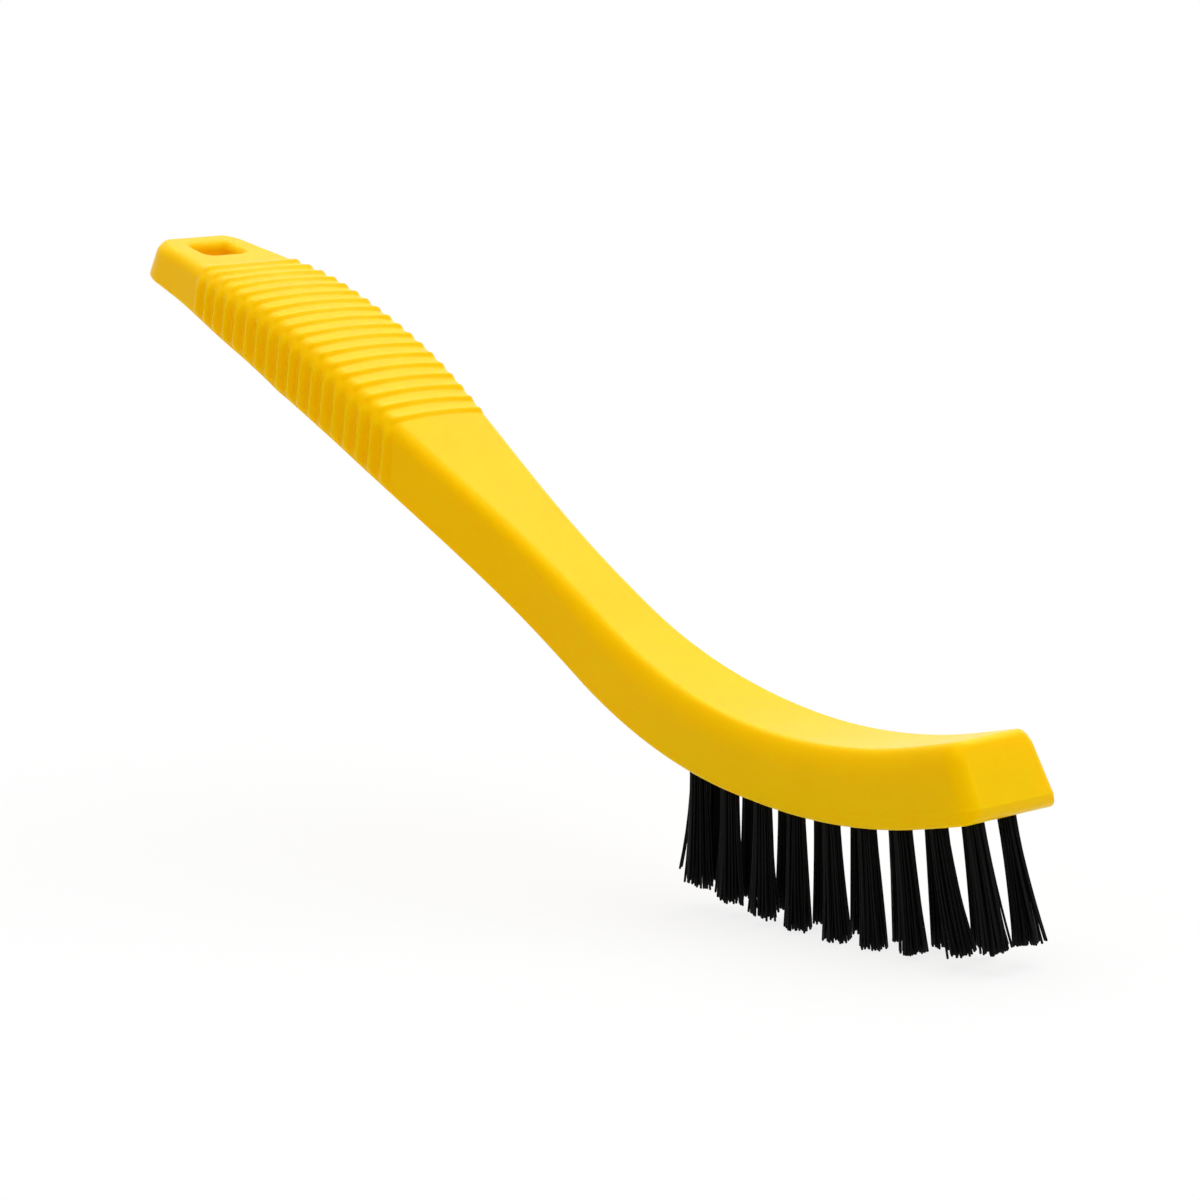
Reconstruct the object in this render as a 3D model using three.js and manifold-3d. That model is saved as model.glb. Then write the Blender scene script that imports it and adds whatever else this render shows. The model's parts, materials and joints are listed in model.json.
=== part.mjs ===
// Hand brush for grout lines: a one-piece moulded handle with a ribbed grip and a curved head,
// two rows of stiff bristle tufts, and the flat wire anchor that holds each tuft in its hole.
import * as THREE from "three";
import { mergeVertices } from "three/addons/utils/BufferGeometryUtils.js";
import Module from "manifold-3d";

const wasm = await Module();
wasm.setup();

// Driving dimensions, in millimetres and degrees.
// The brush is drawn in the mould's frame: +X runs from the hanging end to the nose, +Z is the way
// the mould opens, Y is across, and z = 0 is the flat top of the hanging tab.

// Top line of the handle, seen from the side
const TAB_LENGTH = 11.7; // flat hanging tab
const GRIP_BEND_RADIUS = 170; // grip, bending down from the tab
const NECK_SLOPE = 18; // fall of the straight neck
const NECK_LENGTH = 63.5; // straight neck, along its slope
const HEAD_BEND_RADIUS = 97; // head, bending up again
const NOSE_RISE = 27; // rise of the straight stretch before the nose
const NOSE_RUN = 9.7; // that stretch, along its slope

// Depth of the section under the top line
const TAB_DEPTH = 7.1;
const GRIP_DEPTH = 11.4;
const HEAD_DEPTH = 12.2;
const NOSE_DEPTH = 13.7;
const TAB_TAPER_RUN = 44.7; // run from the hanging end in which the section deepens to the grip

// Width of the section at its base, and the runs in which it changes, from the hanging end on
const TAB_WIDTH = 21.3;
const GRIP_WIDTH = 28.2;
const NECK_WIDTH = 16.3;
const HEAD_WIDTH = 20.7;
const NOSE_WIDTH = 22.7;
const SHOULDER_RUN = 30.7; // tab to grip
const GRIP_RUN = 19; // widest stretch of the grip
const NECK_TAPER_RUN = 64.5; // grip to neck
const HEAD_FLARE_RUN = 52.5; // neck to head

// Edges and faces
const TOP_EDGE_RADIUS = 2.4; // reach of the rounded top edge across the top, and down the grip's sides
const HEAD_EDGE_DROP = 5.2; // its reach down the sides of the head
const NOSE_EDGE_DROP = 3.4;
const EDGE_CHANGE_RUN = 50; // run round the end of the neck in which that reach grows
const BASE_EDGE_RADIUS = 1.2;
const SIDE_DRAFT = 1.8; // each side leans in towards the top
const NOSE_DRAFT = 4.7;
const GRIP_CROWN = 1; // rise of the grip's top across its width
const CROWN_RUN = 20;
const REAR_LEAN = 11.6; // hanging end, sloping out towards the base
const REAR_CORNER_RADIUS = 5;
const REAR_EDGE_RADIUS = 1.5;
const NOSE_LEAN = 41; // nose face, sloping out towards the base
const LEAN_POWER = 1.5; // how late along the head the sections take up that lean
const NOSE_CORNER_RADIUS = 2.6;
const NOSE_EDGE_RADIUS = 1.2;

// Hanging hole, a rounded rectangle through the tab
const HANG_HOLE_LENGTH = 7.7;
const HANG_HOLE_WIDTH = 11;
const HANG_HOLE_RADIUS = 2.2;
const HANG_HOLE_REAR_WALL = 3.9;

// Ribs across the grip, carried down both sides: waves with a hollow rear flank and a steeper flank
// towards the nose
const RIB_COUNT = 18;
const RIB_PITCH = 3.18;
const RIB_HEIGHT = 0.55;
const RIB_RISE = 2.1; // run of a rib's rear flank, from its foot to its crest
const RIB_START = 4; // first rib's foot, past the end of the tab
const RIB_STOP = 2.3; // height above the base where a rib has run out
const RIB_FADE = 1.4; // height in which it runs out
const RIB_SHOULDER = 0.3; // share of its height that passes over the rounded top edge

// Tufts in two rows along the underside of the head
const TUFTS_PER_ROW = 9;
const TUFT_PITCH = 7.9; // along the underside
const NOSE_MARGIN = 6.2; // last tuft's middle, back from the nose along the underside
const ROW_SPACING = 8; // at the nose; the rows close in towards the neck
const TUFT_RADIUS = 1.7;
const TUFT_FLARE = 0.5; // growth of the radius from the root to the tips
const TUFT_FLUTES = 9; // bundles of filaments that show round a tuft
const FLUTE_DEPTH = 0.22;
const BRISTLE_TRIM = 21.4; // tips above the underside, square to it
const REAR_TUFT_LEAN = 15; // from the mould's axis, towards the nose
const NOSE_TUFT_LEAN = 28;
const TUFT_HOLE_DEPTH = 7;

// Anchors: flat wire across each hole, with both ends bitten into its wall
const ANCHOR_THICKNESS = 0.5;
const ANCHOR_HEIGHT = 1.8;
const ANCHOR_BITE = 0.6;
const LOOP_THICKNESS = 1; // bristle folded over the anchor

const CLEARANCE = 0.3; // between a tuft, its hole and its anchor
const STANDING_TILT = 15; // turn from the mould's frame to the brush standing on its bristles

const YELLOW = 0xfcd116;
const BLACK = 0x111110;
const STEEL = 0xb9bcc0;

const radians = THREE.MathUtils.degToRad;
const ease = (value, from, to) => THREE.MathUtils.smoothstep(value, from, to);
const ramp = (value, from, to) => THREE.MathUtils.clamp((value - from) / (to - from), 0, 1);

// Joints of the top line: tab, grip arc, straight neck, head arc, straight nose
const slope = radians(NECK_SLOPE);
const gripEnd = {
  x: TAB_LENGTH + GRIP_BEND_RADIUS * Math.sin(slope),
  z: GRIP_BEND_RADIUS * (Math.cos(slope) - 1),
};
const neckEnd = {
  x: gripEnd.x + NECK_LENGTH * Math.cos(slope),
  z: gripEnd.z - NECK_LENGTH * Math.sin(slope),
};
const headCentre = {
  x: neckEnd.x + HEAD_BEND_RADIUS * Math.sin(slope),
  z: neckEnd.z + HEAD_BEND_RADIUS * Math.cos(slope),
};
const noseSlope = radians(NOSE_RISE);
const headEnd = {
  x: headCentre.x + HEAD_BEND_RADIUS * Math.sin(noseSlope),
  z: headCentre.z - HEAD_BEND_RADIUS * Math.cos(noseSlope),
};
const noseX = headEnd.x + NOSE_RUN * Math.cos(noseSlope);

const gripFrom = SHOULDER_RUN;
const gripTo = gripFrom + GRIP_RUN;
const neckAt = gripTo + NECK_TAPER_RUN;
const headFrom = neckAt + HEAD_FLARE_RUN;

const ribFoot = (index) => TAB_LENGTH + RIB_START + index * RIB_PITCH;
const ribsEnd = ribFoot(RIB_COUNT);

function topHeight(x) {
  if (x < TAB_LENGTH) return 0;
  if (x < gripEnd.x) {
    return Math.sqrt(GRIP_BEND_RADIUS ** 2 - (x - TAB_LENGTH) ** 2) - GRIP_BEND_RADIUS;
  }
  if (x < neckEnd.x) return gripEnd.z - (x - gripEnd.x) * Math.tan(slope);
  if (x < headEnd.x) return headCentre.z - Math.sqrt(HEAD_BEND_RADIUS ** 2 - (x - headCentre.x) ** 2);
  return headEnd.z + (x - headEnd.x) * Math.tan(noseSlope);
}

function sectionDepth(x) {
  const tabToGrip = TAB_DEPTH + (GRIP_DEPTH - TAB_DEPTH) * ramp(x, 0, TAB_TAPER_RUN);
  const gripToHead = (HEAD_DEPTH - GRIP_DEPTH) * ease(x, gripEnd.x, neckEnd.x);
  return tabToGrip + gripToHead + (NOSE_DEPTH - HEAD_DEPTH) * ramp(x, headFrom, noseX);
}

function sectionWidth(x) {
  const tabToGrip = TAB_WIDTH + (GRIP_WIDTH - TAB_WIDTH) * ease(x, 0, gripFrom);
  const gripToNeck = (NECK_WIDTH - GRIP_WIDTH) * ease(x, gripTo, neckAt);
  const neckToHead = (HEAD_WIDTH - NECK_WIDTH) * ease(x, neckAt, headFrom);
  const headToNose = (NOSE_WIDTH - HEAD_WIDTH) * ramp(x, headFrom, noseX);
  return tabToGrip + gripToNeck + neckToHead + headToNose;
}

// Lean of a section from the mould's axis; at both ends it slopes out towards the base.
function sectionLean(x) {
  if (x < TAB_LENGTH) return -radians(REAR_LEAN) * (1 - ramp(x, 0, TAB_LENGTH));
  return radians(NOSE_LEAN) * ramp(x, neckEnd.x, noseX) ** LEAN_POWER;
}

function sideDraft(x) {
  return radians(SIDE_DRAFT + (NOSE_DRAFT - SIDE_DRAFT) * ramp(x, headFrom, noseX));
}

// How far down the side the rounded top edge reaches.
function edgeDrop(x) {
  const halfRun = EDGE_CHANGE_RUN / 2;
  const growth = ease(x, neckEnd.x - halfRun, neckEnd.x + halfRun);
  const atHead = TOP_EDGE_RADIUS + (HEAD_EDGE_DROP - TOP_EDGE_RADIUS) * growth;
  return atHead + (NOSE_EDGE_DROP - HEAD_EDGE_DROP) * ramp(x, headEnd.x, noseX);
}

function crownHeight(x) {
  const rise = ease(x, TAB_LENGTH, TAB_LENGTH + CROWN_RUN);
  return GRIP_CROWN * rise * (1 - ease(x, ribsEnd - CROWN_RUN / 2, ribsEnd + CROWN_RUN));
}

function ribHeight(x) {
  if (x <= ribFoot(0) || x >= ribsEnd) return 0;
  const pastFoot = (x - ribFoot(0)) % RIB_PITCH;
  if (pastFoot < RIB_RISE) return RIB_HEIGHT * (pastFoot / RIB_RISE) ** 2;
  return RIB_HEIGHT * (1 - ease(pastFoot, RIB_RISE, RIB_PITCH));
}

// Place in space of a point of the section at x: y across, down from the top line.
function inSection(x, y, down) {
  const lean = sectionLean(x);
  return new THREE.Vector3(x + down * Math.sin(lean), y, topHeight(x) - down * Math.cos(lean));
}

// Closed outline of the section at x, drawn in by the given amounts where an end is rounded off.
const TOP_STEPS = 3;
const TOP_EDGE_STEPS = 4;
const BASE_EDGE_STEPS = 3;
function sectionOutline(x, sideInset, edgeInset) {
  const base = sectionDepth(x) - edgeInset;
  const rib = ribHeight(x);
  const crown = crownHeight(x);
  const drop = edgeDrop(x);
  const draft = Math.tan(sideDraft(x));
  const sideAt = (down) => sectionWidth(x) / 2 - sideInset - (base - down) * draft;
  const half = [];
  const add = (y, down, outY, outDown, ribShare) => {
    const lift = down < base / 2 ? crown * Math.max(0, 1 - (y / sideAt(0)) ** 2) : 0;
    const grow = rib * ribShare;
    half.push([y + outY * grow, down + outDown * grow - lift]);
  };
  const topDown = edgeInset + drop;
  const topY = sideAt(topDown) - TOP_EDGE_RADIUS;
  for (let i = 0; i < TOP_STEPS; i++) add((topY * i) / TOP_STEPS, edgeInset, 0, -1, 1);
  for (let i = 0; i <= TOP_EDGE_STEPS; i++) {
    const turn = ((i / TOP_EDGE_STEPS) * Math.PI) / 2;
    const out = [Math.sin(turn), -Math.cos(turn)];
    const ribShare = 1 - (1 - RIB_SHOULDER) * Math.sin(2 * turn) ** 2;
    add(topY + TOP_EDGE_RADIUS * out[0], topDown + drop * out[1], ...out, ribShare);
  }
  const fadeFrom = base - RIB_STOP - RIB_FADE;
  add(sideAt(fadeFrom), fadeFrom, 1, 0, 1);
  add(sideAt(base - RIB_STOP), base - RIB_STOP, 1, 0, 0);
  const baseDown = base - BASE_EDGE_RADIUS;
  const baseY = sideAt(baseDown) - BASE_EDGE_RADIUS;
  for (let i = 0; i <= BASE_EDGE_STEPS; i++) {
    const turn = ((i / BASE_EDGE_STEPS) * Math.PI) / 2;
    add(baseY + BASE_EDGE_RADIUS * Math.cos(turn), baseDown + BASE_EDGE_RADIUS * Math.sin(turn), 0, 0, 0);
  }
  half.push([0, base]);
  const mirrored = half.slice(1, -1).reverse();
  return [
    ...half.map(([y, down]) => inSection(x, y, down)),
    ...mirrored.map(([y, down]) => inSection(x, -y, down)),
  ];
}

// How far a quarter-round edge of the given radius has drawn in, at a distance from the end.
function roundedInset(distance, radius) {
  if (distance >= radius) return 0;
  return radius - Math.sqrt(radius ** 2 - (radius - distance) ** 2);
}

const ROUND_STEPS = 5;
const roundedStations = (radius) =>
  Array.from({ length: ROUND_STEPS + 1 }, (_, i) => {
    return radius * (1 - Math.cos(((i / ROUND_STEPS) * Math.PI) / 2));
  });

const evenStations = (from, to, steps) =>
  Array.from({ length: steps }, (_, i) => from + ((i + 1) / (steps + 1)) * (to - from));

// Solid between a run of closed outlines with the same number of points, capped at both ends.
function loft(outlines) {
  const count = outlines[0].length;
  const points = outlines.flat();
  const faces = [];
  for (let ring = 0; ring + 1 < outlines.length; ring++) {
    for (let i = 0; i < count; i++) {
      const next = (i + 1) % count;
      const a = ring * count + i;
      const b = ring * count + next;
      faces.push(a, a + count, b, b, a + count, b + count);
    }
  }
  const addCap = (outline, first, flip) => {
    const middle = outline.reduce((sum, point) => sum.add(point), new THREE.Vector3());
    points.push(middle.divideScalar(count));
    for (let i = 0; i < count; i++) {
      const next = (i + 1) % count;
      const edge = flip ? [first + next, first + i] : [first + i, first + next];
      faces.push(points.length - 1, ...edge);
    }
  };
  addCap(outlines[0], 0, false);
  addCap(outlines[outlines.length - 1], (outlines.length - 1) * count, true);
  return new THREE.BufferGeometry().setFromPoints(points).setIndex(faces);
}

function solidOf(geometry) {
  const bare = geometry.clone();
  bare.deleteAttribute("normal");
  bare.deleteAttribute("uv");
  const merged = mergeVertices(bare);
  const vertProperties = merged.getAttribute("position").array;
  const triVerts = Uint32Array.from(merged.index.array);
  return new wasm.Manifold(new wasm.Mesh({ numProp: 3, vertProperties, triVerts }));
}

function geometryOf(solid) {
  const { vertProperties, triVerts } = solid.getMesh();
  const geometry = new THREE.BufferGeometry();
  geometry.setAttribute("position", new THREE.BufferAttribute(Float32Array.from(vertProperties), 3));
  geometry.setIndex(new THREE.BufferAttribute(Uint32Array.from(triVerts), 1));
  geometry.computeVertexNormals();
  return geometry;
}

// Seats of the tufts: place on the underside, direction, and tilt of the trimmed tips.
const UNDERSIDE_STEP = 0.25;
function undersidePlaces(distances) {
  const places = [];
  let x = noseX;
  let walked = 0;
  let here = inSection(x, 0, sectionDepth(x));
  for (const distance of distances) {
    let fall = new THREE.Vector3();
    while (walked < distance) {
      x -= UNDERSIDE_STEP;
      const next = inSection(x, 0, sectionDepth(x));
      fall = here.clone().sub(next);
      walked += fall.length();
      here = next;
    }
    places.push({ point: here.clone(), rise: Math.atan2(fall.z, fall.x) });
  }
  return places;
}

const tuftTip = TUFT_RADIUS + TUFT_FLARE;
const rearSpacing = 2 * tuftTip + CLEARANCE;
const distances = Array.from({ length: TUFTS_PER_ROW }, (_, i) => NOSE_MARGIN + i * TUFT_PITCH);
const seats = undersidePlaces(distances)
  .reverse()
  .map(({ point, rise }, index) => {
    const along = TUFTS_PER_ROW > 1 ? index / (TUFTS_PER_ROW - 1) : 1;
    const lean = radians(REAR_TUFT_LEAN + (NOSE_TUFT_LEAN - REAR_TUFT_LEAN) * along ** 2);
    const spacing = ROW_SPACING - (ROW_SPACING - rearSpacing) * (1 - along) ** 2;
    return { point, lean, spacing, tilt: rise - lean };
  });

const holeRadius = TUFT_RADIUS + CLEARANCE;
const anchorLength = 2 * (holeRadius + ANCHOR_BITE);
const loopTop = TUFT_HOLE_DEPTH - CLEARANCE;
const anchorMiddle = loopTop - LOOP_THICKNESS - CLEARANCE - ANCHOR_HEIGHT / 2;

const anchorBlock = (gap) =>
  new THREE.BoxGeometry(anchorLength + 2 * gap, ANCHOR_THICKNESS + 2 * gap, ANCHOR_HEIGHT + 2 * gap)
    .translate(0, 0, anchorMiddle);

// Blind hole for one tuft, drawn along +Z into the head from its mouth at z = 0.
const HOLE_SIDES = 14;
const HOLE_LEAD = 4; // cutter's reach outside the mouth
function tuftHole() {
  const length = TUFT_HOLE_DEPTH + HOLE_LEAD;
  const bore = new THREE.CylinderGeometry(holeRadius, holeRadius, length, HOLE_SIDES)
    .rotateX(Math.PI / 2)
    .translate(0, 0, length / 2 - HOLE_LEAD);
  return solidOf(bore).add(solidOf(anchorBlock(CLEARANCE)));
}

// One tuft: filaments folded over the anchor, straight in the hole and flared to trimmed tips.
function tuftGeometry(tilt) {
  const length = BRISTLE_TRIM / Math.cos(tilt);
  const ring = (z, radius, tipTilt = 0) =>
    Array.from({ length: 2 * TUFT_FLUTES }, (_, i) => {
      const turn = (i / TUFT_FLUTES) * Math.PI;
      const reach = radius - (i % 2) * FLUTE_DEPTH;
      const x = reach * Math.cos(turn);
      return new THREE.Vector3(x, reach * Math.sin(turn), z + x * Math.tan(tipTilt));
    });
  const flare = (share) => TUFT_RADIUS + TUFT_FLARE * share ** 2;
  const loopRound = Math.min(LOOP_THICKNESS, TUFT_RADIUS / 2);
  const loopRing = (down) => ring(loopTop - down, TUFT_RADIUS - roundedInset(down, loopRound));
  const outlines = [
    loopRing(0),
    loopRing(LOOP_THICKNESS / 2),
    loopRing(LOOP_THICKNESS),
    ring(0, TUFT_RADIUS),
    ring(-length / 2, flare(1 / 2)),
    ring(-length, flare(1), tilt),
  ];
  const slot = solidOf(anchorBlock(CLEARANCE));
  return geometryOf(solidOf(loft(outlines)).subtract(slot));
}

// Sections drawn between the ends of each stretch, and facets of the small rounds
const TAB_SECTIONS = 1;
const NECK_SECTIONS = 7;
const HEAD_SECTIONS = 15;
const FLANK_SECTIONS = 1;
const HANG_HOLE_STEPS = 4;

function handleGeometry() {
  const rearInset = (x) => [roundedInset(x, REAR_CORNER_RADIUS), roundedInset(x, REAR_EDGE_RADIUS)];
  const noseInset = (x) => [
    roundedInset(noseX - x, NOSE_CORNER_RADIUS),
    roundedInset(noseX - x, NOSE_EDGE_RADIUS),
  ];
  const ribStations = Array.from({ length: RIB_COUNT }, (_, index) => {
    const foot = ribFoot(index);
    const crest = foot + RIB_RISE;
    const rise = evenStations(foot, crest, FLANK_SECTIONS);
    const fall = evenStations(crest, foot + RIB_PITCH, FLANK_SECTIONS);
    return [foot, ...rise, crest, ...fall];
  }).flat();
  const roundFrom = noseX - NOSE_CORNER_RADIUS;
  const middleStations = [
    ...evenStations(REAR_CORNER_RADIUS, TAB_LENGTH, TAB_SECTIONS),
    TAB_LENGTH,
    ...ribStations,
    ribsEnd,
    ...evenStations(ribsEnd, neckEnd.x, NECK_SECTIONS),
    neckEnd.x,
    ...evenStations(neckEnd.x, roundFrom, HEAD_SECTIONS),
  ].sort((a, b) => a - b);
  const noseStations = roundedStations(NOSE_CORNER_RADIUS).map((distance) => noseX - distance);
  const outlines = [
    ...roundedStations(REAR_CORNER_RADIUS).map((x) => sectionOutline(x, ...rearInset(x))),
    ...middleStations.map((x) => sectionOutline(x, 0, 0)),
    ...noseStations.reverse().map((x) => sectionOutline(x, ...noseInset(x))),
  ];
  let body = solidOf(loft(outlines));

  const halfLength = HANG_HOLE_LENGTH / 2 - HANG_HOLE_RADIUS;
  const halfWidth = HANG_HOLE_WIDTH / 2 - HANG_HOLE_RADIUS;
  const outline = new THREE.Shape()
    .absarc(halfLength, halfWidth, HANG_HOLE_RADIUS, 0, Math.PI / 2)
    .absarc(-halfLength, halfWidth, HANG_HOLE_RADIUS, Math.PI / 2, Math.PI)
    .absarc(-halfLength, -halfWidth, HANG_HOLE_RADIUS, Math.PI, 1.5 * Math.PI)
    .absarc(halfLength, -halfWidth, HANG_HOLE_RADIUS, 1.5 * Math.PI, 2 * Math.PI);
  const through = 2 * GRIP_DEPTH;
  const hangHole = new THREE.ExtrudeGeometry(outline, {
    depth: 2 * through,
    bevelEnabled: false,
    curveSegments: HANG_HOLE_STEPS,
  }).translate(HANG_HOLE_REAR_WALL + HANG_HOLE_LENGTH / 2, 0, -through);
  body = body.subtract(solidOf(hangHole));

  const hole = tuftHole();
  for (const seat of seats) {
    for (const side of [-1, 1]) {
      const place = new THREE.Matrix4()
        .makeRotationY(-seat.lean)
        .setPosition(seat.point.x, (side * seat.spacing) / 2, seat.point.z);
      body = body.subtract(hole.transform(place.elements));
    }
  }
  return geometryOf(body);
}

const plastic = new THREE.MeshStandardMaterial({ color: YELLOW, roughness: 0.38, metalness: 0 });
const filament = new THREE.MeshStandardMaterial({ color: BLACK, roughness: 0.5, metalness: 0 });
const wire = new THREE.MeshStandardMaterial({ color: STEEL, roughness: 0.35, metalness: 1 });

function piece(name, geometry, material) {
  const mesh = new THREE.Mesh(geometry, material);
  mesh.name = name;
  return mesh;
}

const brush = new THREE.Group();
brush.add(piece("handle", handleGeometry(), plastic));
seats.forEach((seat, index) => {
  for (const [row, side] of [["right", -1], ["left", 1]]) {
    const tuft = new THREE.Group();
    tuft.position.set(seat.point.x, (side * seat.spacing) / 2, seat.point.z);
    tuft.rotation.y = -seat.lean;
    tuft.add(piece(`tuft_${row}_${index + 1}`, tuftGeometry(seat.tilt), filament));
    tuft.add(piece(`anchor_${row}_${index + 1}`, anchorBlock(0), wire));
    brush.add(tuft);
  }
});

// Standing on the bristle tips, with the origin under the middle of the brush
brush.rotation.y = radians(STANDING_TILT);
const standing = new THREE.Box3().setFromObject(brush, true);
const middle = standing.getCenter(new THREE.Vector3());
brush.position.set(-middle.x, -middle.y, -standing.min.z);

const groutBrush = new THREE.Group();
groutBrush.add(brush);

export default groutBrush;
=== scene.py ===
"""Looks of a hand brush for grout lines: the moulded handle, and the bristle tufts filament by filament."""
import json
import math
import random

import bmesh
import bpy
from mathutils import Matrix, Vector

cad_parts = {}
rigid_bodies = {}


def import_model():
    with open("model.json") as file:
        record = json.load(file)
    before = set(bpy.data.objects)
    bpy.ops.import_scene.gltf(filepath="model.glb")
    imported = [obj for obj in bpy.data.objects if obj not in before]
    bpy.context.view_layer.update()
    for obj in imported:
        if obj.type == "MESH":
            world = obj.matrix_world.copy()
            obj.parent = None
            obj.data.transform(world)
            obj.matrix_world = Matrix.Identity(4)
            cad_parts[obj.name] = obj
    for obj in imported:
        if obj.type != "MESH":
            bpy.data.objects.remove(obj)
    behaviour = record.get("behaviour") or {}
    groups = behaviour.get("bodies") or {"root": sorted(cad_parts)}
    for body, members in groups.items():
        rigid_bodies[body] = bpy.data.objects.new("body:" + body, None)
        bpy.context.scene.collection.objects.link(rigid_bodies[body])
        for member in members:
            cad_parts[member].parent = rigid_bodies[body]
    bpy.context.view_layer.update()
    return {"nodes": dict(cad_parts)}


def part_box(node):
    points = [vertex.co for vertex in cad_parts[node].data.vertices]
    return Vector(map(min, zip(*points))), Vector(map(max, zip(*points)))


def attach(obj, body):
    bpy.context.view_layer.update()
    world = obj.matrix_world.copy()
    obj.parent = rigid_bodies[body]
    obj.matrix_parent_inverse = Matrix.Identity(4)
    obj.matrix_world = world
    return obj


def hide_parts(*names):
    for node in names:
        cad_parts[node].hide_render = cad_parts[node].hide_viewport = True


for leftover in list(bpy.data.objects):
    bpy.data.objects.remove(leftover)
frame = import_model()

MM = 0.001

# Sizes are in millimetres and degrees, in the mould's frame: +X from the hanging end to the nose,
# +Z the way the mould opens, Y across, and z = 0 on the flat top of the hanging tab.

# Top line of the handle, seen from the side
TAB_LENGTH = 11.7
GRIP_BEND_RADIUS = 170
NECK_SLOPE = math.radians(18)
NECK_LENGTH = 63.5
HEAD_BEND_RADIUS = 97
NOSE_RISE = math.radians(27)
NOSE_RUN = 9.7

# Depth of the section under the top line
TAB_DEPTH = 7.1
GRIP_DEPTH = 11.4
HEAD_DEPTH = 12.2
NOSE_DEPTH = 13.7
TAB_TAPER_RUN = 44.7

# Width of the section at its base, and the runs in which it changes
TAB_WIDTH = 21.3
GRIP_WIDTH = 28.2
NECK_WIDTH = 16.3
HEAD_WIDTH = 20.7
NOSE_WIDTH = 22.7
SHOULDER_RUN = 30.7
GRIP_RUN = 19
NECK_TAPER_RUN = 64.5
HEAD_FLARE_RUN = 52.5

# Edges and faces
TOP_EDGE_RADIUS = 2.4
HEAD_EDGE_DROP = 5.2
NOSE_EDGE_DROP = 3.4
EDGE_CHANGE_RUN = 50
BASE_EDGE_RADIUS = 0.8
NOSE_BASE_EDGE = 0.5
SIDE_DRAFT = math.radians(1.8)
NOSE_DRAFT = math.radians(4.7)
GRIP_CROWN = 1
CROWN_RUN = 20
REAR_LEAN = math.radians(11.6)
REAR_CORNER_RADIUS = 5
REAR_EDGE_RADIUS = 1.5
NOSE_LEAN = math.radians(41)
LEAN_POWER = 1.5
NOSE_CORNER_RADIUS = 2.6
NOSE_EDGE_RADIUS = 1.2
NOSE_BASE_ROUND = 1.5

# Parting line of the mould: on the head the lower half stands a hair proud of the upper one, and at the
# nose it leans less
LIP_HEIGHT = 2.5  # above the base
LIP_STEP = 0.07
LIP_CHAMFER = 0.1
LIP_ROOM = 0.15  # least height between the line and the base's round
LIP_LEAN = math.radians(20)  # most that the lower half leans

# Hanging hole at its mouths, and the round in which it narrows from there
HANG_HOLE_LENGTH = 9
HANG_HOLE_WIDTH = 12.4
HANG_HOLE_RADIUS = 2.9
HANG_HOLE_REAR_WALL = 3.1
HANG_HOLE_RIM = 1.9
HANG_HOLE_CUT = 3 * TAB_DEPTH  # depth of the cutter, clear of the base

# Ribs across the grip: each rises slowly towards the nose and falls off more steeply. They are low and
# gentle on top, higher and rounder on the sides, and die out in between, along the rounded edge.
RIB_COUNT = 18
RIB_PITCH = 3.18
RIB_START = 4  # past the end of the tab
TOP_RIB_HEIGHT = 0.36
TOP_RIB_EDGE_GAIN = 0.5  # share by which the height grows towards the edges
TOP_RIB_RISE = 2.23  # run from foot to crest
TOP_RIB_POWER = 1.8  # how hollow that run is
TOP_RIB_LAG = 0.05  # first foot, past RIB_START
TOP_RIB_END = 1.6  # stretch of the rounded edge in which the rib dies out
SIDE_RIB_HEIGHT = 0.9
SIDE_RIB_LAG = 0.7
SIDE_RIB_SLANT = 0.14  # further lag for each millimetre down the side
SIDE_RIB_RISE = 1.9
SIDE_RIB_END = 3.2

# Tufts, their holes and their anchors
TUFTS_PER_ROW = 9
TUFT_HOLE_RADIUS = 2
TUFT_HOLE_DEPTH = 7
ANCHOR_DEPTH = 4.5
ANCHOR_HEIGHT = 1.8
ANCHOR_THICKNESS = 0.5
CLEARANCE = 0.3
FILAMENT_WIDTH = 0.42
TUFT_RADIUS = 1.74
TIP_SHARE = 0.7  # share of a CAD tuft's length past which its points belong to the tips

# How far the tips of a whole tuft lean towards +X
LEAN_SPREAD = 0.15
LEANING = {"tuft_right_8": 1.5}

STANDING_TILT = math.radians(15)

# Camera at the photograph's viewing angle, in millimetres and degrees
CAMERA_TARGET = Vector((7.5, 0, 50.74))
CAMERA_DISTANCE = 781.14
CAMERA_AZIMUTH = math.radians(44.68)
CAMERA_ELEVATION = math.radians(8.92)
CAMERA_ROLL = math.radians(-0.42)
CAMERA_LENS = 135
CAMERA_SENSOR = 36


def clamp(value):
    return min(1, max(0, value))


def ramp(value, start, end):
    return clamp((value - start) / (end - start))


def ease(value, start, end):
    share = ramp(value, start, end)
    return share * share * (3 - 2 * share)


def spread(start, end, steps):
    """Evenly spaced values from start up to but not including end."""
    return [start + (end - start) * i / steps for i in range(steps)]


def new_object(name, mesh, material=None):
    obj = bpy.data.objects.new(name, mesh)
    bpy.context.scene.collection.objects.link(obj)
    if material:
        mesh.materials.append(material)
    return obj


# Camera
def add_camera():
    data = bpy.data.cameras.new("camera")
    data.lens = CAMERA_LENS
    data.sensor_width = CAMERA_SENSOR
    camera = bpy.data.objects.new("camera", data)
    bpy.context.scene.collection.objects.link(camera)
    around = Matrix.Rotation(CAMERA_AZIMUTH, 4, "Z") @ Matrix.Rotation(-CAMERA_ELEVATION, 4, "X")
    back = around @ Vector((0, -1, 0))
    upright = around @ Matrix.Rotation(math.pi / 2, 4, "X") @ Matrix.Rotation(CAMERA_ROLL, 4, "Z")
    place = Matrix.Translation((CAMERA_TARGET + CAMERA_DISTANCE * back) * MM)
    camera.matrix_world = place @ upright
    bpy.context.scene.camera = camera


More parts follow.
